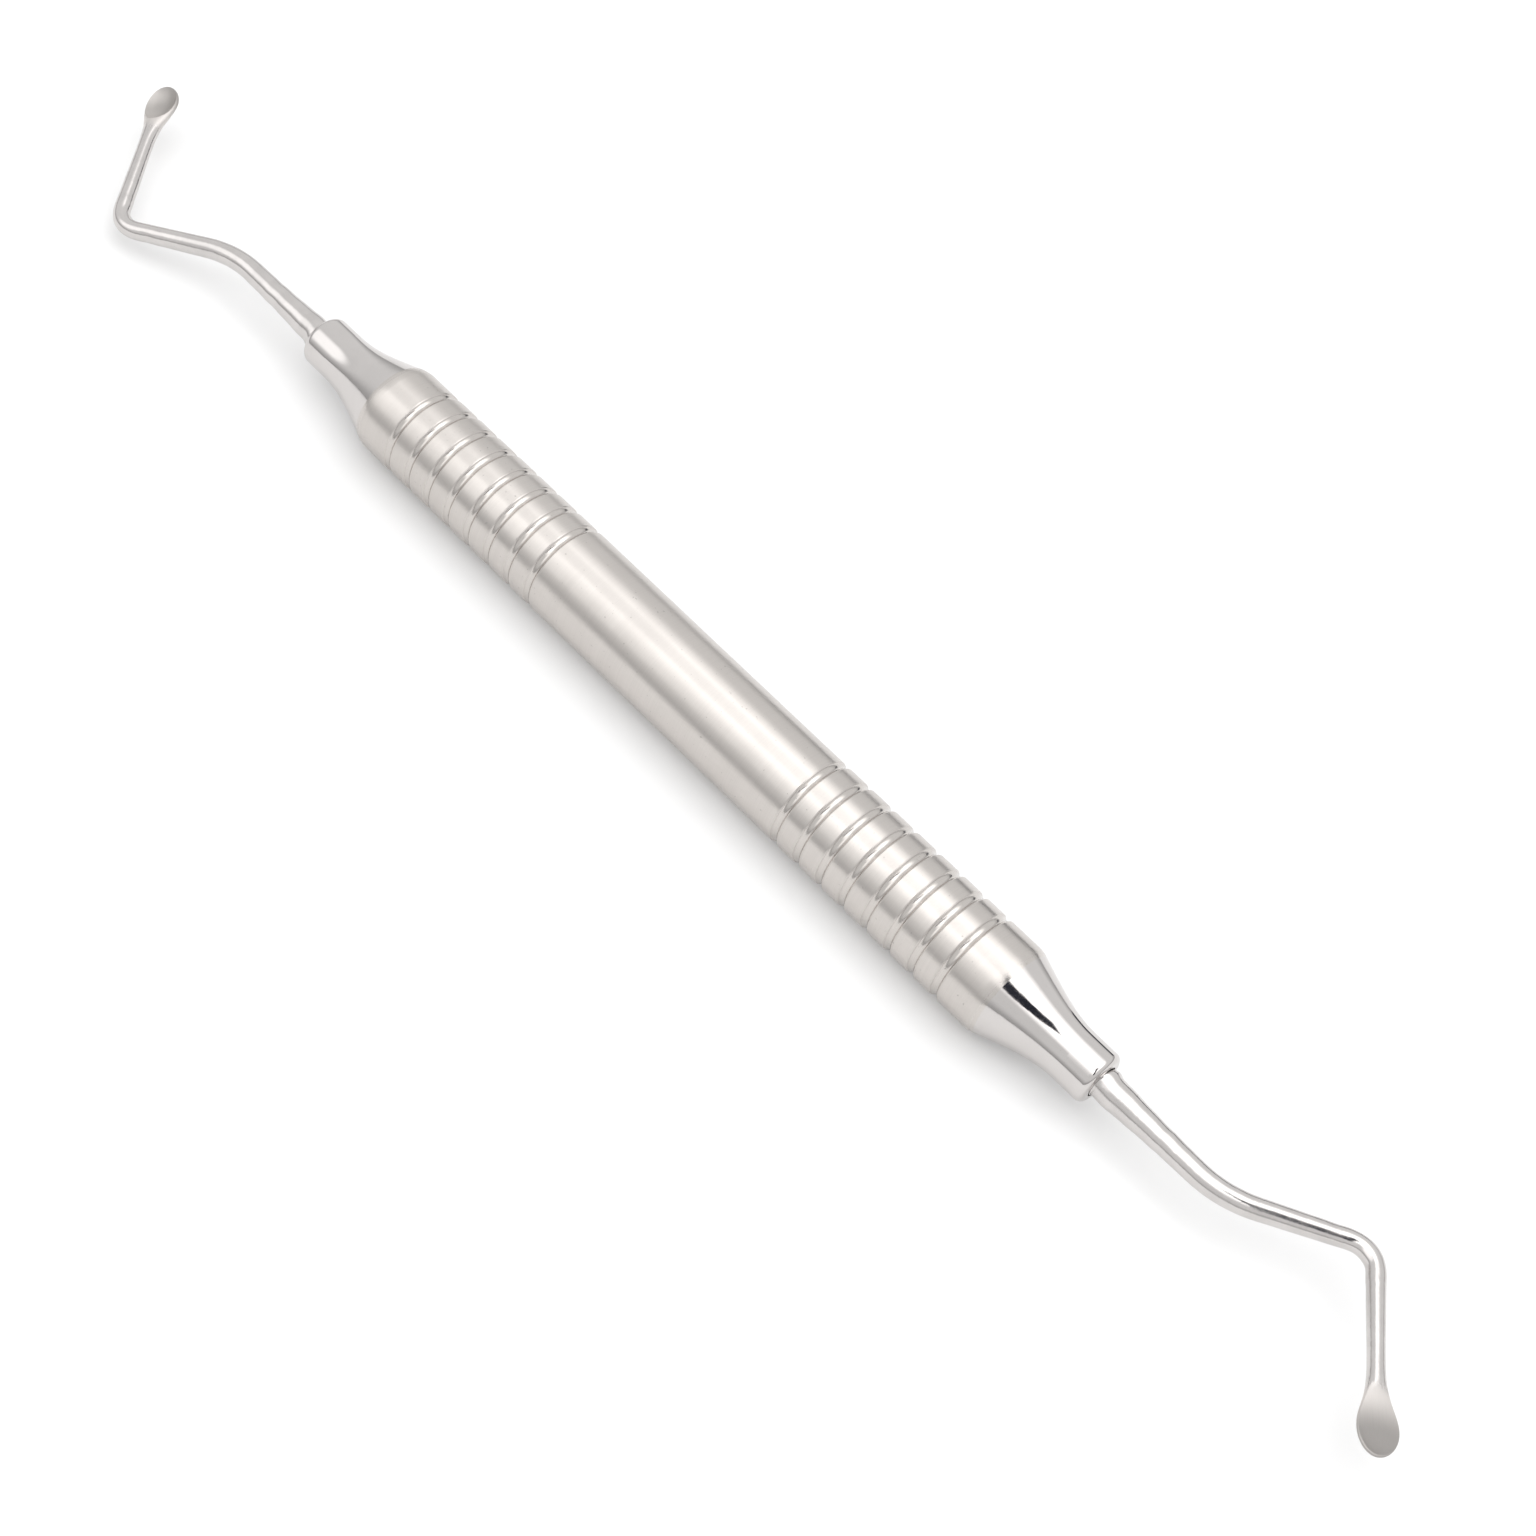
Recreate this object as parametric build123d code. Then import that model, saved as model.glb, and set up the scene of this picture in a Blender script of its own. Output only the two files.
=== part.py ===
from build123d import *
import math
import os

# Bone curette, all lengths in millimetres.
# The long axis runs along X, the front end is at +X, and the barrel rests on z = 0.

# Barrel: a turned tube with a grooved grip at each end
BARREL_DIA = 9.5
BARREL_LENGTH = 84.0
BARREL_WALL = 1.0
SHOULDER_DIA = 9.1
SHOULDER_LENGTH = 1.1
GROOVES_PER_GRIP = 8
GROOVE_PITCH = 2.9
GROOVE_WIDTH = 0.9
GROOVE_DEPTH = 0.28
FIRST_GROOVE_X = 16.9
GROOVE_EDGE_BREAK = 0.06

# Necks: turned sockets pressed into the mouths of the barrel
NECK_LENGTH = 10.9
COLLAR_DIA = 5.36
COLLAR_LENGTH = 3.2
COLLAR_RIM_RADIUS = 0.7
SHOULDER_SLOPE = -0.36
FLARE_MID_X = 3.0
FLARE_MID_DIA = 7.06
SPIGOT_LENGTH = 7.0
SPIGOT_CHAMFER = 0.4
SOCKET_DEPTH = 9.0
MOUTH_RECESS_DIA = 3.35
MOUTH_RECESS_DEPTH = 0.5

# Working ends: each one is forged from a single rod
TAIL_DIA = 3.05
TAIL_CHAMFER = 0.3
FIRST_BEND_FROM_COLLAR = 14.0
FIRST_BEND_DEG = 28.4
FIRST_BEND_RADIUS = 12.0
MIDDLE_LEG = 13.25
ELBOW_DEG = 80.3
ELBOW_RADIUS = 2.7
ELBOW_LIFT_DEG = 9.3
STEM_DIA = 1.52
TAPERED_DIA = 2.52
TAPER_PER_MM = 0.0275
ROOT_SWELL_LENGTH = 4.6

# Spoon at the tip of each working end
ELBOW_TO_WIDEST = 16.6
WIDEST_TO_TIP = 2.3
SPOON_WIDTH = 3.7
SPOON_THICKNESS = 1.24
SPOON_FLARE_LENGTH = 2.75
SPOON_DROP = 0.3
TIP_DROP = 0.05
BOWL_LENGTH = 4.0
BOWL_WIDTH = 3.3
BOWL_DEPTH = 0.6
BOWL_FLOOR = 0.66
BOWL_SHIFT = 0.1
SHANK_SECTIONS = 36
TIP_SECTIONS = 8

# How each end sits in its neck, and how its spoon is turned on the stem
FRONT_ROLL_DEG = 10.4
FRONT_FACE_DEG = -12.0
REAR_ROLL_DEG = -24.0
REAR_FACE_DEG = 10.0

# Turns the round barrel so that a facet of its mesh, and not an edge, lies on the table
SEAM_TURN_DEG = -3.1

AXIS_Z = BARREL_DIA / 2
BARREL_END = BARREL_LENGTH / 2
COLLAR_FACE = BARREL_END + NECK_LENGTH


def turned(profile):
    """Solid of revolution about X from a closed profile drawn above X in the XY plane."""
    return revolve(make_face(profile), Axis.X, 360)


def barrel():
    radius = BARREL_DIA / 2
    start = BARREL_END - SHOULDER_LENGTH
    body = Cylinder(radius, BARREL_LENGTH, rotation=(0, 90, 0))
    crown = Spline(
        (start, radius),
        (BARREL_END, SHOULDER_DIA / 2),
        tangents=[(1, 0), (1, SHOULDER_SLOPE)],
    )
    lid = Polyline(
        (BARREL_END, SHOULDER_DIA / 2),
        (BARREL_END + 1, SHOULDER_DIA / 2),
        (BARREL_END + 1, radius + 1),
        (start, radius + 1),
        (start, radius),
    )
    crown_cut = turned(crown + lid)
    body -= crown_cut + mirror(crown_cut, Plane.YZ)
    half = GROOVE_WIDTH / 2
    ball = (half**2 + GROOVE_DEPTH**2) / (2 * GROOVE_DEPTH)
    for index in range(GROOVES_PER_GRIP):
        x = FIRST_GROOVE_X + index * GROOVE_PITCH
        ring = Torus(radius - GROOVE_DEPTH + ball, ball, rotation=(0, 90, 0))
        body -= Pos(x, 0, 0) * ring
        body -= Pos(-x, 0, 0) * ring
    lips = [
        edge
        for edge in body.edges().filter_by(GeomType.CIRCLE)
        if abs(edge.radius - radius) < 1e-4 and abs(edge.arc_center.X) < start - 0.1
    ]
    body = chamfer(lips, GROOVE_EDGE_BREAK)
    body -= Cylinder(radius - BARREL_WALL, BARREL_LENGTH, rotation=(0, 90, 0))
    return body


def neck():
    """Front neck, from its spigot inside the barrel to its rounded collar."""
    collar = COLLAR_DIA / 2
    bore = TAIL_DIA / 2
    spigot = BARREL_DIA / 2 - BARREL_WALL
    inner = BARREL_END - SPIGOT_LENGTH
    flare = Spline(
        (BARREL_END, SHOULDER_DIA / 2),
        (BARREL_END + FLARE_MID_X, FLARE_MID_DIA / 2),
        (COLLAR_FACE - COLLAR_LENGTH, collar),
        tangents=[(1, SHOULDER_SLOPE), (1, 0)],
    )
    rim_start = (COLLAR_FACE - COLLAR_RIM_RADIUS, collar)
    rim_end = (COLLAR_FACE, collar - COLLAR_RIM_RADIUS)
    rim = RadiusArc(rim_start, rim_end, COLLAR_RIM_RADIUS)
    straight = Line((COLLAR_FACE - COLLAR_LENGTH, collar), rim_start)
    rest = Polyline(
        rim_end,
        (COLLAR_FACE, MOUTH_RECESS_DIA / 2),
        (COLLAR_FACE - MOUTH_RECESS_DEPTH, MOUTH_RECESS_DIA / 2),
        (COLLAR_FACE - MOUTH_RECESS_DEPTH, bore),
        (COLLAR_FACE - SOCKET_DEPTH, bore),
        (COLLAR_FACE - SOCKET_DEPTH, 0),
        (inner, 0),
        (inner, spigot - SPIGOT_CHAMFER),
        (inner + SPIGOT_CHAMFER, spigot),
        (BARREL_END, spigot),
        (BARREL_END, SHOULDER_DIA / 2),
    )
    return turned(flare + straight + rim + rest)


def shank_radius(distance):
    """Radius of the rod at a distance from the collar, measured along its centreline."""
    taper = TAPERED_DIA - TAPER_PER_MM * distance
    swell = (TAIL_DIA - TAPERED_DIA) * math.exp(-((distance / ROOT_SWELL_LENGTH) ** 2))
    return max(taper + swell, STEM_DIA) / 2


def round_corner(before, corner, after, radius):
    """Start, middle and end of the arc of a given radius that rounds off a corner."""
    toward = (before - corner).normalized()
    away = (after - corner).normalized()
    half_angle = math.radians(toward.get_angle(away)) / 2
    bisector = (toward + away).normalized()
    setback = radius / math.tan(half_angle)
    depth = radius / math.sin(half_angle) - radius
    return corner + toward * setback, corner + bisector * depth, corner + away * setback


def forged_section(distance, past_widest):
    """Half width, half depth and drop toward the back at a point of the centreline."""
    stem = shank_radius(distance)
    width = SPOON_WIDTH / 2
    depth = SPOON_THICKNESS / 2
    if past_widest < 0:
        share = math.exp(-((past_widest / SPOON_FLARE_LENGTH) ** 2))
        return stem + (width - stem) * share, stem + (depth - stem) * share, SPOON_DROP * share
    along = past_widest / WIDEST_TO_TIP
    share = math.sqrt(1 - along**2)
    return width * share, depth * share, SPOON_DROP + (TIP_DROP - SPOON_DROP) * along**2


def working_end(face_angle):
    """Front working end with its shank in the XY plane and the back of its spoon up."""
    leg_angle = math.radians(FIRST_BEND_DEG)
    stem_angle = math.radians(FIRST_BEND_DEG - ELBOW_DEG)
    lift = math.radians(ELBOW_LIFT_DEG)
    root = Vector(COLLAR_FACE, 0, 0)
    bend = root + Vector(FIRST_BEND_FROM_COLLAR, 0, 0)
    elbow = bend + Vector(math.cos(leg_angle), math.sin(leg_angle), 0) * MIDDLE_LEG
    flat = Vector(math.cos(stem_angle), math.sin(stem_angle), 0)
    stem = flat * math.cos(lift) + Vector(0, 0, math.sin(lift))
    tip = elbow + stem * (ELBOW_TO_WIDEST + WIDEST_TO_TIP)
    first = round_corner(root, bend, elbow, FIRST_BEND_RADIUS)
    second = round_corner(bend, elbow, tip, ELBOW_RADIUS)
    path = Wire(
        [
            Edge.make_line(root, first[0]),
            Edge.make_three_point_arc(*first),
            Edge.make_line(first[2], second[0]),
            Edge.make_three_point_arc(*second),
            Edge.make_line(second[2], tip),
        ]
    )
    back = (Vector(0, 0, 1) - stem * stem.Z).normalized().rotate(Axis((0, 0, 0), stem), face_angle)
    widest = path.length - WIDEST_TO_TIP

    def section(distance):
        tangent = path.tangent_at(distance, PositionMode.LENGTH)
        width, depth, drop = forged_section(distance, distance - widest)
        centre = path.position_at(distance, PositionMode.LENGTH) + back * drop
        return Plane(centre, back.cross(tangent), tangent) * Ellipse(width, depth)

    shank_steps = [widest * step / SHANK_SECTIONS for step in range(SHANK_SECTIONS)]
    tip_steps = [
        widest + WIDEST_TO_TIP * math.sin(math.pi / 2 * step / TIP_SECTIONS)
        for step in range(TIP_SECTIONS)
    ]
    forging = loft([section(d) for d in shank_steps + tip_steps] + [Vertex(*(tip + back * TIP_DROP))])
    tail = Pos(COLLAR_FACE - SOCKET_DEPTH / 2, 0, 0) * Cylinder(
        TAIL_DIA / 2, SOCKET_DEPTH, rotation=(0, 90, 0)
    )
    forging += chamfer(tail.edges().filter_by(GeomType.CIRCLE).sort_by(Axis.X)[:1], TAIL_CHAMFER)

    # The cup opens away from the back and is sunk by an oval grinder
    middle = path.position_at(widest, PositionMode.LENGTH)
    half_width = BOWL_WIDTH / 2
    ball = (half_width**2 + BOWL_DEPTH**2) / (2 * BOWL_DEPTH)
    half_length = BOWL_LENGTH / 2 * ball / half_width
    oval = Ellipse(half_length, ball) - Pos(0, -ball) * Rectangle(3 * half_length, 2 * ball)
    grinder = Pos(BOWL_SHIFT, 0, ball - BOWL_FLOOR) * revolve(oval, Axis.X, 360)
    forging -= Plane(middle, stem, -back) * grinder
    return forging


os.makedirs("parts", exist_ok=True)

half_turn = Rot(0, 0, 180)
on_table = Pos(0, 0, AXIS_Z)

handle_barrel = on_table * Rot(SEAM_TURN_DEG, 0, 0) * barrel()
neck_front = on_table * neck()
neck_rear = on_table * half_turn * neck()
end_front = on_table * Rot(FRONT_ROLL_DEG, 0, 0) * working_end(FRONT_FACE_DEG)
left_handed = mirror(working_end(REAR_FACE_DEG), Plane.XY)
end_rear = on_table * half_turn * Rot(REAR_ROLL_DEG, 0, 0) * left_handed

export_step(handle_barrel, "parts/handle_barrel.step")
export_step(neck_front, "parts/neck_front.step")
export_step(neck_rear, "parts/neck_rear.step")
export_step(end_front, "parts/working_end_front.step")
export_step(end_rear, "parts/working_end_rear.step")
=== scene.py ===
"""Finish, light and camera for a double-ended bone curette, all in metres."""

import math

import bpy
from bpy.props import FloatProperty, FloatVectorProperty, PointerProperty
from bpy.types import Operator, Panel, PropertyGroup
from mathutils import Matrix, Vector


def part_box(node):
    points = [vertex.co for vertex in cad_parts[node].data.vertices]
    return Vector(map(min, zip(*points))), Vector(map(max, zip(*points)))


bl_info = {
    "name": "Bone curette finish",
    "version": (1, 0, 0),
    "blender": (4, 5, 0),
    "location": "3D View > Sidebar > Curette",
    "description": "Gives a double-ended bone curette its steel finishes, light and camera",
    "category": "Material",
}

MM = 0.001
WHITE = (1.0, 1.0, 1.0, 1.0)

# Depth below the barrel's surface where a groove starts and where it is fully smooth
GROOVE_LIP = 0.03 * MM
GROOVE_FLOOR = 0.16 * MM

# Where a spoon and its stem lie, measured from the tip, and the part round a spoon's middle
SPOON_LENGTH = 4.6 * MM
STEM_START = 8.0 * MM
STEM_STOP = 12.0 * MM
CORE_RADIUS = 0.6 * MM

# Painted highlight on the brushed spoon: paler by this factor at its neck, and back to its own
# colour farther along
NECK_HIGHLIGHT = 1.6
NECK_START = -2.8 * MM
NECK_STOP = 0.6 * MM

# Paper: side of the sheet, where its glow for the camera starts to grow, and its far glow
PAPER_SIDE = 3.0
PAPER_NEAR = 0.25
PAPER_FAR = 1.3
PAPER_FAR_GLOW = 0.8

# Tent: brightness from the near to the far side, and from the floor up
TENT_SIDE = (0.98, 1.06)
TENT_RISE = (0.55, 1.02)

# Side light: its direction, and how squarely a ray has to meet it to catch none or all of it
SIDE_LIGHT = Vector((-0.53, -0.55, 0.65))
SIDE_LIGHT_EDGE = (0.9, 0.985)

# Softbox: its middle, the share that fades at each edge, and the rows of tubes in it
SOFTBOX_X = 0.09
SOFTBOX_Y = -0.03
SOFTBOX_FADE = 0.26
TUBE_ROWS = (0.33, 0.66)
TUBE_REACH = 0.06
TUBE_GAIN = 0.75

# Dark cards that the steel reflects: size, place and the point that each one faces
CARD_COLOUR = (0.02, 0.022, 0.035)
DARK_CARDS = {
    "camera_body": ((0.055, 0.15), (0.132, -0.075, 0.2), (0.044, 0.0, 0.005)),
    "low_card": ((0.14, 0.055), (-0.02, 0.32, 0.02), (0.05, 0.0, 0.01)),
}

# Camera: the point that it aims at, seen from above, and the width of its sensor
AIM_X = 11.53 * MM
AIM_Y = -0.36 * MM
SENSOR_WIDTH_MM = 36.0

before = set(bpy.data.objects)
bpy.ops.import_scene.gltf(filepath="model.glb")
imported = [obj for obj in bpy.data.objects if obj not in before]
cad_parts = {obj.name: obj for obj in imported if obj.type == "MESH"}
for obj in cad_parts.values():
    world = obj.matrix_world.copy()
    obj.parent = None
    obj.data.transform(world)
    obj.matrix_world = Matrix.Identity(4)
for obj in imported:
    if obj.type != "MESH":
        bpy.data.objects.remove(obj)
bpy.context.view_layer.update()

BARREL = "handle_barrel"
NECKS = ("neck_front", "neck_rear")
WORKING_ENDS = ("working_end_front", "working_end_rear")

barrel_low, barrel_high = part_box(BARREL)
BARREL_RADIUS = (barrel_high.z - barrel_low.z) / 2
AXIS_Z = (barrel_high.z + barrel_low.z) / 2


class CuretteSatin(PropertyGroup):
    """Turned satin finish of the barrel."""

    colour: FloatVectorProperty(
        name="Steel colour",
        description="Colour of the satin barrel",
        subtype="COLOR",
        size=3,
        min=0.0,
        max=1.0,
        default=(0.645, 0.61, 0.58),
    )
    roughness: FloatProperty(
        name="Roughness",
        description="Roughness of the turned surface between the grooves",
        subtype="FACTOR",
        min=0.0,
        max=1.0,
        default=0.27,
    )
    groove_roughness: FloatProperty(
        name="Groove roughness",
        description="Roughness in the grooves, which the forming tool leaves smoother",
        subtype="FACTOR",
        min=0.0,
        max=1.0,
        default=0.2,
    )
    stretch: FloatProperty(
        name="Highlight stretch",
        description="How far the turning lines draw a highlight out along the barrel",
        subtype="FACTOR",
        min=0.0,
        max=1.0,
        default=0.75,
    )
    ring_pitch: FloatProperty(
        name="Ring pitch",
        description="Distance from one turning line to the next",
        unit="LENGTH",
        min=0.00001,
        max=0.001,
        default=0.07 * MM,
    )
    ring_depth: FloatProperty(
        name="Ring depth",
        description="Depth of the turning lines",
        unit="LENGTH",
        min=0.0,
        max=0.0001,
        default=0.0012 * MM,
    )


class CurettePolish(PropertyGroup):
    """Mirror polish of the necks and the shanks."""

    colour: FloatVectorProperty(
        name="Steel colour",
        description="Colour of the polished steel",
        subtype="COLOR",
        size=3,
        min=0.0,
        max=1.0,
        default=(0.665, 0.638, 0.624),
    )
    neck_roughness: FloatProperty(
        name="Neck roughness",
        description="Roughness of the turned and buffed necks",
        subtype="FACTOR",
        min=0.0,
        max=1.0,
        default=0.06,
    )
    shank_roughness: FloatProperty(
        name="Shank roughness",
        description="Roughness of the hand polished shanks",
        subtype="FACTOR",
        min=0.0,
        max=1.0,
        default=0.14,
    )
    hairline_pitch: FloatProperty(
        name="Hairline pitch",
        description="Distance between the fine lines that polishing leaves",
        unit="LENGTH",
        min=0.00001,
        max=0.001,
        default=0.05 * MM,
    )
    hairline_depth: FloatProperty(
        name="Hairline depth",
        description="Depth of the polishing lines",
        unit="LENGTH",
        min=0.0,
        max=0.0001,
        default=0.0005 * MM,
    )


class CuretteSpoon(PropertyGroup):
    """Matt brushed finish of the two spoons."""

    colour: FloatVectorProperty(
        name="Steel colour",
        description="Colour of the brushed spoons",
        subtype="COLOR",
        size=3,
        min=0.0,
        max=1.0,
        default=(0.47, 0.447, 0.43),
    )
    roughness: FloatProperty(
        name="Roughness",
        description="Roughness of the brushed spoons",
        subtype="FACTOR",
        min=0.0,
        max=1.0,
        default=0.48,
    )
    reach: FloatProperty(
        name="Reach",
        description="How far from the middle of a spoon the brushing goes",
        unit="LENGTH",
        min=0.0005,
        max=0.01,
        default=3.6 * MM,
    )
    fade: FloatProperty(
        name="Fade",
        description="Length over which the brushing turns into polish",
        unit="LENGTH",
        min=0.0001,
        max=0.01,
        default=1.4 * MM,
    )
    flatness: FloatProperty(
        name="Flatness of the back",
        description="How flat grinding leaves the back of the spoon across its width",
        subtype="FACTOR",
        min=0.0,
        max=1.0,
        default=0.8,
    )
    scoop: FloatProperty(
        name="Scoop of the back",
        description="How much grinding turns the back toward the stem near the tip",
        subtype="FACTOR",
        min=0.0,
        max=1.0,
        default=0.3,
    )
    brush_pitch: FloatProperty(
        name="Brush pitch",
        description="Distance between the brush lines",
        unit="LENGTH",
        min=0.00001,
        max=0.001,
        default=0.09 * MM,
    )
    brush_depth: FloatProperty(
        name="Brush depth",
        description="Depth of the brush lines",
        unit="LENGTH",
        min=0.0,
        max=0.0001,
        default=0.002 * MM,
    )


class CuretteStage(PropertyGroup):
    """Floor, light and camera."""

    floor_colour: FloatVectorProperty(
        name="Floor colour",
        description="Colour of the paper that the curette lies on",
        subtype="COLOR",
        size=3,
        min=0.0,
        max=1.0,
        default=(0.82, 0.82, 0.82),
    )
    floor_glow: FloatProperty(
        name="Floor glow",
        description="Light that the paper adds for the camera only",
        subtype="FACTOR",
        min=0.0,
        max=1.0,
        default=0.1,
    )
    floor_sheen: FloatProperty(
        name="Floor glow in reflections",
        description="Light that the paper adds where the steel reflects it",
        subtype="FACTOR",
        min=0.0,
        max=1.0,
        default=0.02,
    )
    softbox_length: FloatProperty(
        name="Softbox length",
        description="Length of the overhead softbox along the instrument",
        unit="LENGTH",
        min=0.1,
        max=2.0,
        default=0.84,
    )
    softbox_width: FloatProperty(
        name="Softbox width",
        description="Width of the overhead softbox across the instrument",
        unit="LENGTH",
        min=0.1,
        max=2.0,
        default=0.83,
    )
    softbox_height: FloatProperty(
        name="Softbox height",
        description="Height of the softbox above the floor",
        unit="LENGTH",
        min=0.1,
        max=2.0,
        default=0.45,
    )
    softbox_level: FloatProperty(
        name="Softbox level",
        description="Brightness of the softbox, where 1 is white",
        min=0.0,
        max=10.0,
        default=1.85,
    )
    tent_level: FloatProperty(
        name="Tent level",
        description="Brightness of the white tent round the object, where 1 is white",
        min=0.0,
        max=2.0,
        default=0.8,
    )
    window_level: FloatProperty(
        name="Side light level",
        description="Brightness that the side light adds to the tent, where 1 is white",
        min=0.0,
        max=2.0,
        default=0.65,
    )
    camera_azimuth: FloatProperty(
        name="Camera azimuth",
        description="Angle of the camera round the object",
        subtype="ANGLE",
        default=math.radians(31.94),
    )
    camera_elevation: FloatProperty(
        name="Camera elevation",
        description="Angle of the camera above the horizon",
        subtype="ANGLE",
        default=math.radians(51.5),
    )
    camera_roll: FloatProperty(
        name="Camera roll",
        description="Turn of the camera about its line of sight",
        subtype="ANGLE",
        default=math.radians(17.7),
    )
    camera_distance: FloatProperty(
        name="Camera distance",
        description="Distance from the camera to the point that it aims at",
        unit="LENGTH",
        min=0.05,
        max=5.0,
        default=0.24627,
    )
    camera_lens: FloatProperty(
        name="Lens",
        description="Focal length for a 36 mm sensor",
        subtype="DISTANCE_CAMERA",
        min=10.0,
        max=300.0,
        default=63.87,
    )


def socket_type(value):
    """Node socket type that carries a default value."""
    return "NodeSocketFloat" if isinstance(value, (int, float)) else "NodeSocketVector"


def new_group(name, inputs):
    """Empty shader node group with named inputs, and the sockets that carry them."""
    group = bpy.data.node_groups.new(name, "ShaderNodeTree")
    for label, value in inputs.items():
        socket = group.interface.new_socket(
            name=label, in_out="INPUT", socket_type=socket_type(value)
        )
        socket.default_value = value
    return group, group.nodes.new("NodeGroupInput").outputs


def close_group(group, results):
    """Gives a node group its named outputs, each one fed by a socket."""
    for label in results:
        group.interface.new_socket(name=label, in_out="OUTPUT", socket_type="NodeSocketFloat")
    put(group, "NodeGroupOutput", results)
    return group


def feed(tree, node, values):
    """Sets inputs of a node, each to a number, a colour, a vector or another node's socket."""
    for key, value in values.items():
        if isinstance(value, bpy.types.NodeSocket):
            tree.links.new(value, node.inputs[key])
        else:
            node.inputs[key].default_value = value


def put(tree, kind, values=None, **settings):
    """New node with settings and input values."""
    node = tree.nodes.new(kind)
    for key, value in settings.items():
        setattr(node, key, value)
    feed(tree, node, values or {})
    return node


def calc(tree, operation, *values):
    """Output of a Math node."""
    return put(tree, "ShaderNodeMath", dict(enumerate(values)), operation=operation).outputs[0]


def vector(tree, operation, *values):
    """Vector that a Vector Math node puts out."""
    node = put(tree, "ShaderNodeVectorMath", dict(enumerate(values)), operation=operation)
    return node.outputs[0]


def measure(tree, operation, *values):
    """Number that a Vector Math node puts out, such as a length."""
    node = put(tree, "ShaderNodeVectorMath", dict(enumerate(values)), operation=operation)
    return node.outputs["Value"]


def scaled(tree, value, factor):
    """Vector times a number."""
    node = put(tree, "ShaderNodeVectorMath", {0: value, "Scale": factor}, operation="SCALE")
    return node.outputs[0]


def blend(tree, factor, low, high):
    """Output that goes from one value to another as the factor goes from 0 to 1."""
    node = put(tree, "ShaderNodeMix", {0: factor, 2: low, 3: high}, data_type="FLOAT")
    return node.outputs[0]


def blend_vector(tree, factor, low, high):
    """Output that goes from one vector to another as the factor goes from 0 to 1."""
    node = put(tree, "ShaderNodeMix", {0: factor, 4: low, 5: high}, data_type="VECTOR")
    return node.outputs[1]


def blend_colour(tree, factor, low, high, mode="MIX"):
    """Output that goes from one colour to another as the factor goes from 0 to 1."""
    values = {0: factor, 6: low, 7: high}
    node = put(tree, "ShaderNodeMix", values, data_type="RGBA", blend_type=mode)
    return node.outputs[2]


def remap(tree, value, low, high, to_low=0.0, to_high=1.0):
    """Output of a smooth Map Range node."""
    values = {0: value, 1: low, 2: high, 3: to_low, 4: to_high}
    return put(tree, "ShaderNodeMapRange", values, interpolation_type="SMOOTHSTEP").outputs[0]


def place(tree):
    """Position on the object in the row frame."""
    return put(tree, "ShaderNodeTexCoord").outputs["Object"]


def noise(tree, position, scale, detail):
    """Factor of a Noise Texture node."""
    node = put(tree, "ShaderNodeTexNoise", {"Vector": position, "Scale": scale, "Detail": detail})
    return node.outputs[0]


def turned_rings():
    """Group: fine rings round the long axis, as a lathe tool leaves them."""
    group, given = new_group("Turned rings", {"Pitch": 0.1 * MM, "Wander": 8.0 * MM})
    pitch = calc(group, "DIVIDE", 1.0, given["Pitch"])
    wander = calc(group, "DIVIDE", 1.0, given["Wander"])
    density = put(group, "ShaderNodeCombineXYZ", {0: pitch, 1: wander, 2: wander}).outputs[0]
    where = vector(group, "MULTIPLY", place(group), density)
    rings = noise(group, where, 1.0, 2.0)
    bands = noise(group, where, 0.12, 1.0)
    return close_group(group, {"Rings": rings, "Bands": bands})


def drawn_lines():
    """Group: fine straight lines in one direction, as a belt or a buffing wheel leaves them."""
    inputs = {"Direction": (1.0, 0.0, 0.0), "Pitch": 0.1 * MM, "Length": 3.0 * MM}
    group, given = new_group("Drawn lines", inputs)
    where = place(group)
    along = measure(group, "DOT_PRODUCT", where, given["Direction"])
    across = vector(group, "SUBTRACT", where, scaled(group, given["Direction"], along))
    dense = scaled(group, across, calc(group, "DIVIDE", 1.0, given["Pitch"]))
    run = calc(group, "DIVIDE", along, given["Length"])
    sparse = scaled(group, given["Direction"], run)
    lines = noise(group, vector(group, "ADD", dense, sparse), 1.0, 2.0)
    return close_group(group, {"Lines": lines})


def handling_haze():
    """Group: soft clouds and small specks that handling and wiping leave."""
    group, given = new_group("Handling haze", {"Size": 4.0 * MM, "Speck Size": 0.25 * MM})
    where = place(group)
    clouds = scaled(group, where, calc(group, "DIVIDE", 1.0, given["Size"]))
    dots = scaled(group, where, calc(group, "DIVIDE", 1.0, given["Speck Size"]))
    haze = remap(group, noise(group, clouds, 1.0, 3.0), 0.35, 0.7)
    specks = remap(group, noise(group, dots, 1.0, 1.0), 0.72, 0.8)
    return close_group(group, {"Haze": haze, "Specks": specks})


def shared(name):
    """A shared node group, made the first time that it is asked for."""
    makers = {
        "Turned rings": turned_rings,
        "Drawn lines": drawn_lines,
        "Handling haze": handling_haze,
    }
    return bpy.data.node_groups.get(name) or makers[name]()


def use(tree, name, values):
    """Places a shared node group in a material with its own values."""
    node = put(tree, "ShaderNodeGroup", node_tree=shared(name))
    feed(tree, node, values)
    return node.outputs


def steel(name):
    """New material with a metallic shader, its node tree and the shader."""
    material = bpy.data.materials.new(name)
    material.use_nodes = True
    tree = material.node_tree
    shader = tree.nodes["Principled BSDF"]
    feed(tree, shader, {"Metallic": 1.0})
    return material, tree, shader


def tint(colour, factor=1.0):
    """Colour with alpha, made darker or lighter by a factor."""
    return (*(min(1.0, channel * factor) for channel in colour), 1.0)


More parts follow.
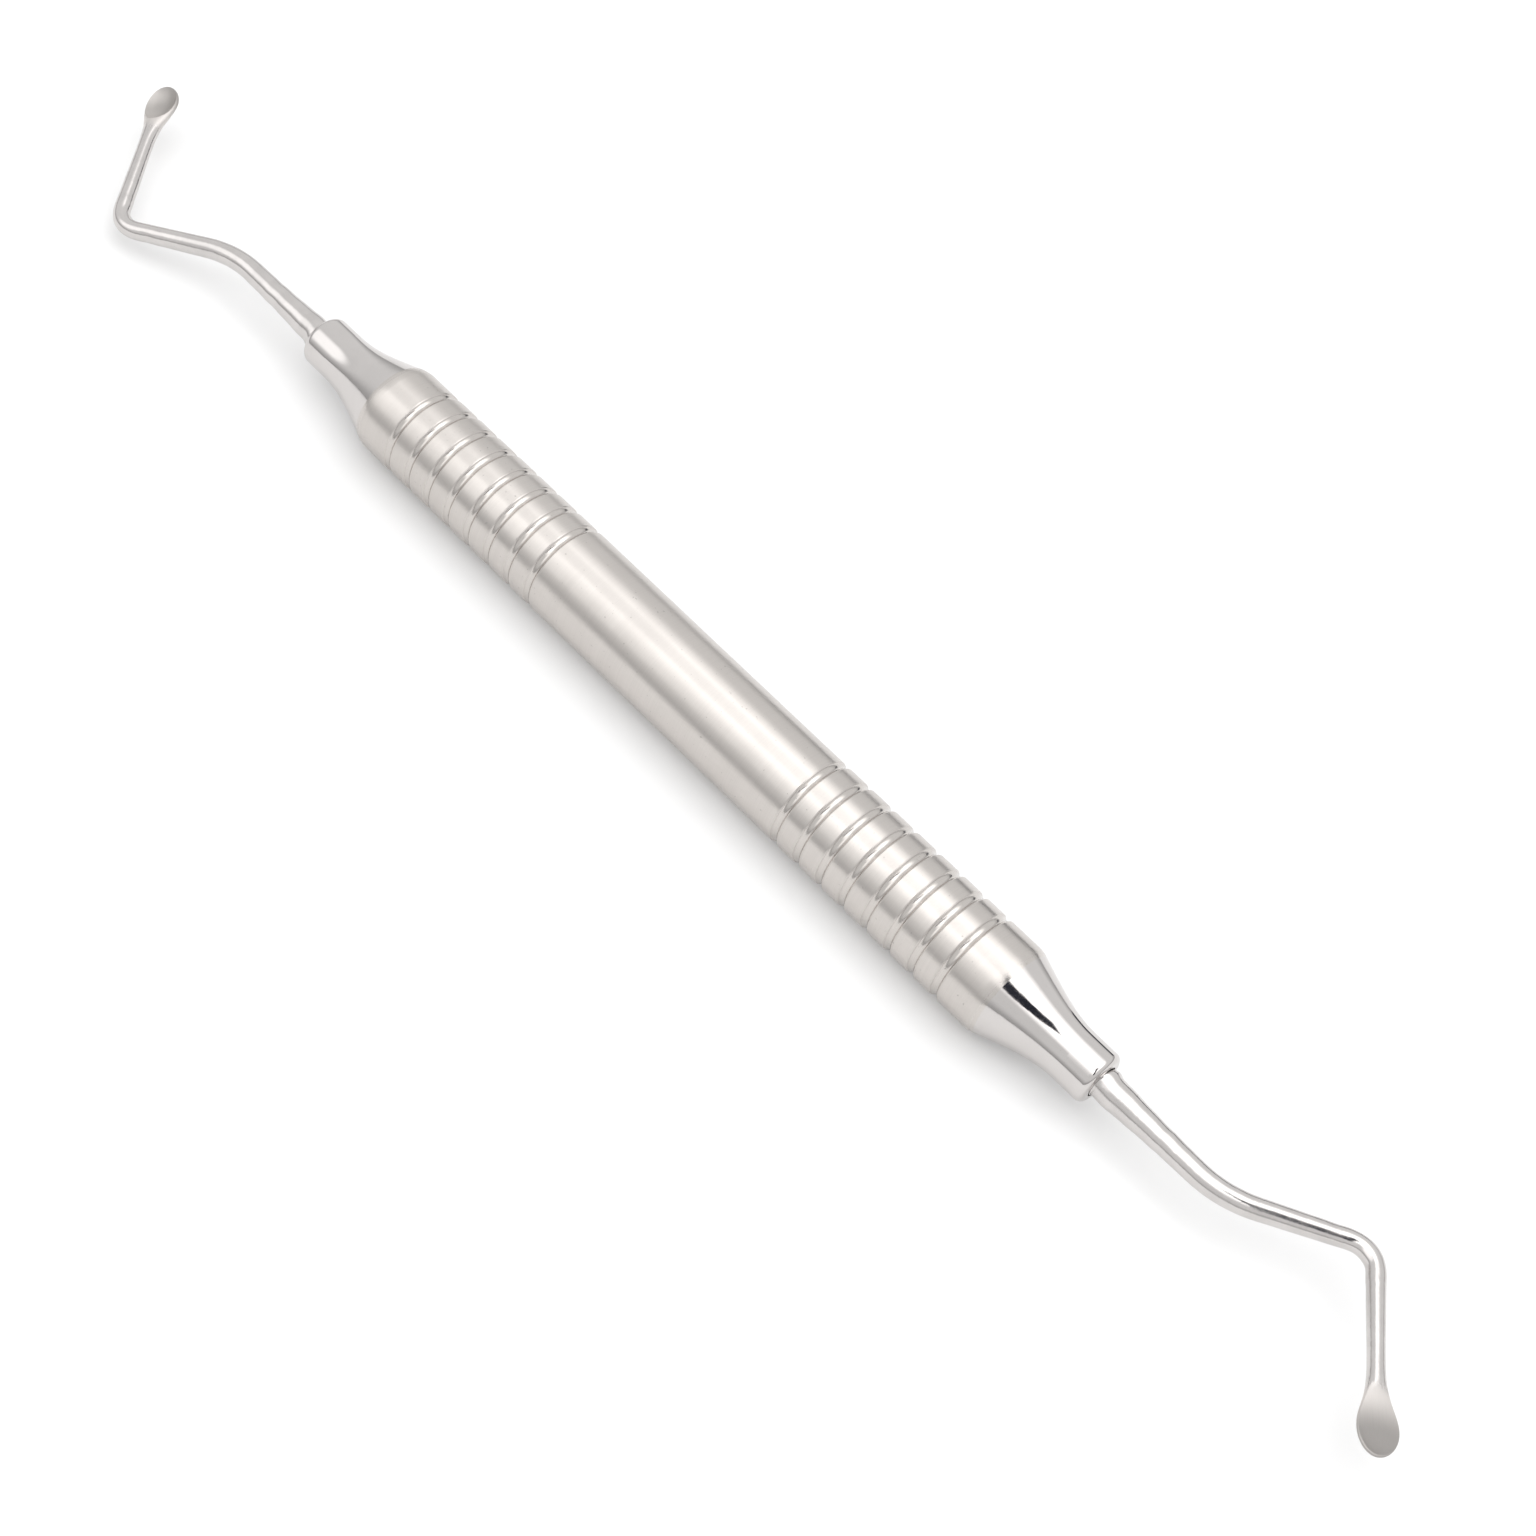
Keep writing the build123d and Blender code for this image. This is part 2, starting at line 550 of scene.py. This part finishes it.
def relief(tree, height, depth, ground=None):
    """Normal of a surface whose height goes from 0 to that depth, over a ground normal."""
    values = {"Distance": depth, "Height": height}
    if ground is not None:
        values["Normal"] = ground
    return put(tree, "ShaderNodeBump", values).outputs[0]


def satin_steel(look):
    """Barrel: satin turned steel with brighter, smoother grooves."""
    material, tree, shader = steel("satin_turned_steel")
    rings = use(tree, "Turned rings", {"Pitch": look.ring_pitch, "Wander": 12.0 * MM})
    haze = use(tree, "Handling haze", {"Size": 6.0 * MM, "Speck Size": 0.3 * MM})

    from_middle = vector(tree, "SUBTRACT", place(tree), (0.0, 0.0, AXIS_Z))
    radius = measure(tree, "LENGTH", vector(tree, "MULTIPLY", from_middle, (0.0, 1.0, 1.0)))
    lip = BARREL_RADIUS - GROOVE_LIP
    floor = BARREL_RADIUS - GROOVE_FLOOR
    groove = remap(tree, radius, floor, lip, 1.0, 0.0)

    ringed = blend_colour(tree, rings["Rings"], tint(look.colour, 0.93), tint(look.colour, 1.07))
    hazed = calc(tree, "MULTIPLY", haze["Haze"], 0.35)
    dulled = blend_colour(tree, hazed, ringed, tint(look.colour, 0.94))
    worn = calc(tree, "MULTIPLY_ADD", haze["Haze"], 0.05, look.roughness)
    lined = calc(tree, "MULTIPLY_ADD", rings["Bands"], 0.06, worn)
    round_axis = put(tree, "ShaderNodeTangent", direction_type="RADIAL", axis="X").outputs[0]
    values = {
        "Base Color": blend_colour(tree, haze["Specks"], dulled, tint(look.colour, 0.72)),
        "Roughness": blend(tree, groove, lined, look.groove_roughness),
        "Normal": relief(tree, rings["Rings"], look.ring_depth),
        "Anisotropic": look.stretch,
        "Anisotropic Rotation": 0.25,
        "Tangent": round_axis,
    }
    feed(tree, shader, values)
    return material


def mirror_steel(look):
    """Necks: buffed steel with faint rings and wiping marks."""
    material, tree, shader = steel("mirror_polished_steel")
    rings = use(tree, "Turned rings", {"Pitch": look.hairline_pitch, "Wander": 5.0 * MM})
    haze = use(tree, "Handling haze", {"Size": 2.5 * MM, "Speck Size": 0.12 * MM})
    hazed = calc(tree, "MULTIPLY", haze["Haze"], 0.4)
    dulled = blend_colour(tree, hazed, tint(look.colour, 1.02), tint(look.colour, 0.95))
    values = {
        "Base Color": blend_colour(tree, haze["Specks"], dulled, tint(look.colour, 0.8)),
        "Roughness": calc(tree, "MULTIPLY_ADD", haze["Haze"], 0.05, look.neck_roughness),
        "Normal": relief(tree, rings["Rings"], look.hairline_depth),
    }
    feed(tree, shader, values)
    return material


def ground_flat(tree, form, matt, tipward, spoon):
    """Normal of the brushed back, which grinding leaves flat across and scooped toward the tip."""
    _, along, level = form
    scooped = (level - along * spoon.scoop).normalized()
    back = blend_vector(tree, tipward, level, scooped)
    own = put(tree, "ShaderNodeNewGeometry").outputs["Normal"]
    facing = measure(tree, "DOT_PRODUCT", own, level)
    share = remap(tree, facing, 0.35, 0.75, 0.0, spoon.flatness)
    pull = vector(tree, "SUBTRACT", back, own)
    pulled = scaled(tree, pull, calc(tree, "MULTIPLY", share, matt))
    return vector(tree, "NORMALIZE", vector(tree, "ADD", own, pulled))


def forged_steel(name, polish, spoon, form):
    """Working end: polished shank whose spoon is ground and brushed along its length; the spoon's
    colour holds a painted highlight, paler at its neck.
    """
    middle, along, _ = form
    material, tree, shader = steel(name)
    haze = use(tree, "Handling haze", {"Size": 2.0 * MM, "Speck Size": 0.15 * MM})["Haze"]
    hairline = {"Direction": (1.0, 0.0, 0.0), "Pitch": polish.hairline_pitch, "Length": 4.0 * MM}
    hairlines = use(tree, "Drawn lines", hairline)["Lines"]
    brush = {"Direction": along, "Pitch": spoon.brush_pitch, "Length": 2.5 * MM}
    brushing = use(tree, "Drawn lines", brush)["Lines"]

    from_middle = vector(tree, "SUBTRACT", place(tree), middle)
    away = measure(tree, "LENGTH", from_middle)
    ragged = calc(tree, "MULTIPLY_ADD", brushing, spoon.fade, away)
    matt = remap(tree, ragged, spoon.reach, spoon.reach + spoon.fade, 1.0, 0.0)
    toward_tip = measure(tree, "DOT_PRODUCT", from_middle, along)
    tipward = remap(tree, toward_tip, NECK_START, NECK_STOP)

    bright = blend_colour(tree, haze, tint(polish.colour, 1.02), tint(polish.colour, 0.95))
    # Painted highlight: the spoon's colour is paler at its neck and fades to its own colour toward
    # the tip
    ground = blend_colour(tree, tipward, tint(spoon.colour, NECK_HIGHLIGHT), tint(spoon.colour))
    scored = blend_colour(tree, brushing, (0.93, 0.93, 0.93, 1.0), WHITE)
    # Real brush lines laid over the spoon's colour, which still carries the painted highlight at
    # its neck
    brushed = blend_colour(tree, 1.0, ground, scored, "MULTIPLY")
    buffed = calc(tree, "MULTIPLY_ADD", haze, 0.06, polish.shank_roughness)
    depth = blend(tree, matt, polish.hairline_depth, spoon.brush_depth)
    lines = calc(tree, "MULTIPLY", blend(tree, matt, hairlines, brushing), depth)
    flat = ground_flat(tree, form, matt, tipward, spoon)
    values = {
        "Base Color": blend_colour(tree, matt, bright, brushed),
        "Roughness": blend(tree, matt, buffed, spoon.roughness),
        "Normal": relief(tree, lines, 1.0, flat),
    }
    feed(tree, shader, values)
    return material


def give(node, material):
    """Puts one material in all the slots of a CAD node."""
    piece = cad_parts[node]
    if not piece.data.materials:
        piece.data.materials.append(material)
    for slot in piece.material_slots:
        slot.material = material


def spoon_form(node):
    """Middle of a working end's spoon, the direction of its stem and that of its back."""
    points = [vertex.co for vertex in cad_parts[node].data.vertices]
    tip = max(points, key=lambda point: abs(point.x))
    spoon = [point for point in points if (point - tip).length < SPOON_LENGTH]
    stem = [point for point in points if STEM_START < (point - tip).length < STEM_STOP]
    middle = sum(spoon, Vector()) / len(spoon)
    along = (middle - sum(stem, Vector()) / len(stem)).normalized()
    arms = [point - middle for point in spoon]
    widest = max(arms, key=lambda arm: (arm - along * arm.dot(along)).length)
    back = along.cross(widest).normalized()
    heights = [arm.dot(back) for arm in arms]
    core = [arm.dot(back) for arm in arms if (arm - back * arm.dot(back)).length < CORE_RADIUS]
    # On the cup's side the middle lies deeper below the rim, and the back is the other side
    if max(heights) - max(core) > min(core) - min(heights):
        back = -back
    return middle, along, back


class CURETTE_OT_finish_barrel(Operator):
    """Give the grooved barrel its satin turned finish"""

    bl_idname = "curette.finish_barrel"
    bl_label = "Finish barrel"

    def execute(self, context):
        give(BARREL, satin_steel(context.scene.curette_satin))
        return {"FINISHED"}


class CURETTE_OT_finish_necks(Operator):
    """Give both necks their mirror polish"""

    bl_idname = "curette.finish_necks"
    bl_label = "Finish necks"

    def execute(self, context):
        polished = mirror_steel(context.scene.curette_polish)
        for node in NECKS:
            give(node, polished)
        return {"FINISHED"}


class CURETTE_OT_finish_working_ends(Operator):
    """Polish both shanks and brush their spoons"""

    bl_idname = "curette.finish_working_ends"
    bl_label = "Finish working ends"

    def execute(self, context):
        scene = context.scene
        for node in WORKING_ENDS:
            name = node.replace("working_end", "forged_steel")
            form = spoon_form(node)
            give(node, forged_steel(name, scene.curette_polish, scene.curette_spoon, form))
        return {"FINISHED"}


def blank(holder):
    """Empty node tree of a material or a world."""
    holder.use_nodes = True
    holder.node_tree.nodes.clear()
    return holder.node_tree


def paper(look):
    """Floor: white paper that keeps the shadow, lifted to white for the camera."""
    material = bpy.data.materials.new("white_paper")
    tree = blank(material)
    seen = put(tree, "ShaderNodeLightPath").outputs
    mirrored = calc(tree, "MAXIMUM", seen["Is Glossy Ray"], seen["Is Transmission Ray"])
    sheen = calc(tree, "MULTIPLY", mirrored, look.floor_sheen)
    away = measure(tree, "LENGTH", place(tree))
    glow = remap(tree, away, PAPER_NEAR, PAPER_FAR, look.floor_glow, PAPER_FAR_GLOW)
    lift = calc(tree, "MULTIPLY_ADD", seen["Is Camera Ray"], glow, sheen)
    matt = put(tree, "ShaderNodeBsdfDiffuse", {"Color": tint(look.floor_colour)})
    added = put(tree, "ShaderNodeEmission", {"Strength": lift})
    both = put(tree, "ShaderNodeAddShader", {0: matt.outputs[0], 1: added.outputs[0]})
    put(tree, "ShaderNodeOutputMaterial", {"Surface": both.outputs[0]})
    return material


def flat_object(name, width, depth, material):
    """Flat rectangle in the XY plane with one material."""
    x = width / 2
    y = depth / 2
    mesh = bpy.data.meshes.new(name)
    mesh.from_pydata([(-x, -y, 0), (x, -y, 0), (x, y, 0), (-x, y, 0)], [], [(0, 1, 2, 3)])
    mesh.materials.append(material)
    piece = bpy.data.objects.new(name, mesh)
    bpy.context.scene.collection.objects.link(piece)
    return piece


def tent(look):
    """World: a white tent, duller low down on the near side, with a side light at the rear."""
    world = bpy.data.worlds.new("white_tent")
    bpy.context.scene.world = world
    tree = blank(world)
    toward = put(tree, "ShaderNodeTexCoord").outputs["Generated"]
    parts = put(tree, "ShaderNodeSeparateXYZ", {0: toward}).outputs
    side = remap(tree, parts["Y"], -1.0, 0.6, *TENT_SIDE)
    rise = remap(tree, parts["Z"], 0.0, 0.35, *TENT_RISE)
    level = calc(tree, "MULTIPLY", calc(tree, "MULTIPLY", side, rise), look.tent_level)
    facing = measure(tree, "DOT_PRODUCT", toward, SIDE_LIGHT)
    window = remap(tree, facing, *SIDE_LIGHT_EDGE, 0.0, look.window_level)
    lit = calc(tree, "ADD", level, window)
    seen = put(tree, "ShaderNodeLightPath").outputs["Is Camera Ray"]
    shown = blend(tree, seen, lit, 1.0)
    light = put(tree, "ShaderNodeBackground", {"Color": WHITE, "Strength": shown})
    put(tree, "ShaderNodeOutputWorld", {"Surface": light.outputs[0]})


def lit_cloth(level):
    """Softbox cloth, lit by rows of tubes and fading to clear toward its edges."""
    material = bpy.data.materials.new("softbox_cloth")
    tree = blank(material)
    across = put(tree, "ShaderNodeTexCoord").outputs["Generated"]
    parts = put(tree, "ShaderNodeSeparateXYZ", {0: across}).outputs
    edges = []
    for axis in ("X", "Y"):
        off_centre = calc(tree, "ABSOLUTE", calc(tree, "SUBTRACT", parts[axis], 0.5))
        edges.append(remap(tree, off_centre, 0.5 - SOFTBOX_FADE, 0.5, 1.0, 0.0))
    share = calc(tree, "MULTIPLY", *edges)
    strength = level
    for row in TUBE_ROWS:
        apart = calc(tree, "ABSOLUTE", calc(tree, "SUBTRACT", parts["Y"], row))
        tube = remap(tree, apart, 0.0, TUBE_REACH, TUBE_GAIN, 0.0)
        strength = calc(tree, "ADD", tube, strength)
    light = put(tree, "ShaderNodeEmission", {"Strength": strength})
    clear = put(tree, "ShaderNodeBsdfTransparent")
    both = put(tree, "ShaderNodeMixShader", {0: share, 1: clear.outputs[0], 2: light.outputs[0]})
    put(tree, "ShaderNodeOutputMaterial", {"Surface": both.outputs[0]})
    return material


def black_card():
    """Matt black card that keeps light out of a reflection."""
    material = bpy.data.materials.new("black_card")
    tree = blank(material)
    matt = put(tree, "ShaderNodeBsdfDiffuse", {"Color": tint(CARD_COLOUR)})
    put(tree, "ShaderNodeOutputMaterial", {"Surface": matt.outputs[0]})
    return material


def hide(piece, *rays):
    """Keeps a piece out of the named kinds of ray."""
    for ray in rays:
        setattr(piece, f"visible_{ray}", False)


def cards(look):
    """Overhead softbox with a soft rim, the camera's dark body and a low dark card."""
    cloth = lit_cloth(look.softbox_level)
    softbox = flat_object("softbox", look.softbox_length, look.softbox_width, cloth)
    softbox.location = (SOFTBOX_X, SOFTBOX_Y, look.softbox_height)
    hide(softbox, "camera", "shadow")
    black = black_card()
    for name, (size, centre, aim) in DARK_CARDS.items():
        card = flat_object(name, *size, black)
        facing = (Vector(aim) - Vector(centre)).to_track_quat("Z", "Y")
        card.matrix_world = Matrix.Translation(centre) @ facing.to_matrix().to_4x4()
        hide(card, "camera", "shadow", "diffuse")


def camera(look):
    """Camera at the viewing angle of the photograph, aimed a little in front of the middle."""
    around = look.camera_azimuth
    above = look.camera_elevation
    back = Vector(
        (
            math.sin(around) * math.cos(above),
            -math.cos(around) * math.cos(above),
            math.sin(above),
        )
    )
    level_right = Vector((math.cos(around), math.sin(around), 0.0))
    level_up = back.cross(level_right)
    roll = look.camera_roll
    right = level_right * math.cos(roll) + level_up * math.sin(roll)
    up = back.cross(right)
    aim = Vector((AIM_X, AIM_Y, AXIS_Z))
    lens = bpy.data.cameras.new("camera")
    lens.lens = look.camera_lens
    lens.sensor_width = SENSOR_WIDTH_MM
    lens.clip_start = 0.01
    lens.clip_end = 10.0
    holder = bpy.data.objects.new("camera", lens)
    turn = Matrix((right, up, back)).transposed()
    spot = aim + back * look.camera_distance
    holder.matrix_world = Matrix.Translation(spot) @ turn.to_4x4()
    bpy.context.scene.collection.objects.link(holder)
    bpy.context.scene.camera = holder


class CURETTE_OT_set_stage(Operator):
    """Lay the paper, hang the softbox in its tent and place the camera"""

    bl_idname = "curette.set_stage"
    bl_label = "Set stage"

    def execute(self, context):
        look = context.scene.curette_stage
        flat_object("floor", PAPER_SIDE, PAPER_SIDE, paper(look))
        tent(look)
        cards(look)
        camera(look)
        context.scene.view_settings.view_transform = "Standard"
        return {"FINISHED"}


LOOKS = {
    "curette_satin": CuretteSatin,
    "curette_polish": CurettePolish,
    "curette_spoon": CuretteSpoon,
    "curette_stage": CuretteStage,
}

OPERATORS = (
    CURETTE_OT_finish_barrel,
    CURETTE_OT_finish_necks,
    CURETTE_OT_finish_working_ends,
    CURETTE_OT_set_stage,
)


class CURETTE_PT_panel(Panel):
    """Lists the curette's finishes and its stage"""

    bl_idname = "CURETTE_PT_panel"
    bl_label = "Bone curette"
    bl_space_type = "VIEW_3D"
    bl_region_type = "UI"
    bl_category = "Curette"

    def draw(self, context):
        for operator in OPERATORS:
            self.layout.operator(operator.bl_idname)
        for name in LOOKS:
            box = self.layout.box()
            look = getattr(context.scene, name)
            for key in look.__annotations__:
                box.prop(look, key)


CLASSES = (*LOOKS.values(), *OPERATORS, CURETTE_PT_panel)


def register():
    for item in CLASSES:
        bpy.utils.register_class(item)
    for name, look in LOOKS.items():
        setattr(bpy.types.Scene, name, PointerProperty(type=look))


def unregister():
    for name in LOOKS:
        delattr(bpy.types.Scene, name)
    for item in reversed(CLASSES):
        bpy.utils.unregister_class(item)


def main():
    register()
    bpy.ops.curette.finish_barrel()
    bpy.ops.curette.finish_necks()
    bpy.ops.curette.finish_working_ends()
    bpy.ops.curette.set_stage()


if __name__ == "__main__":
    main()
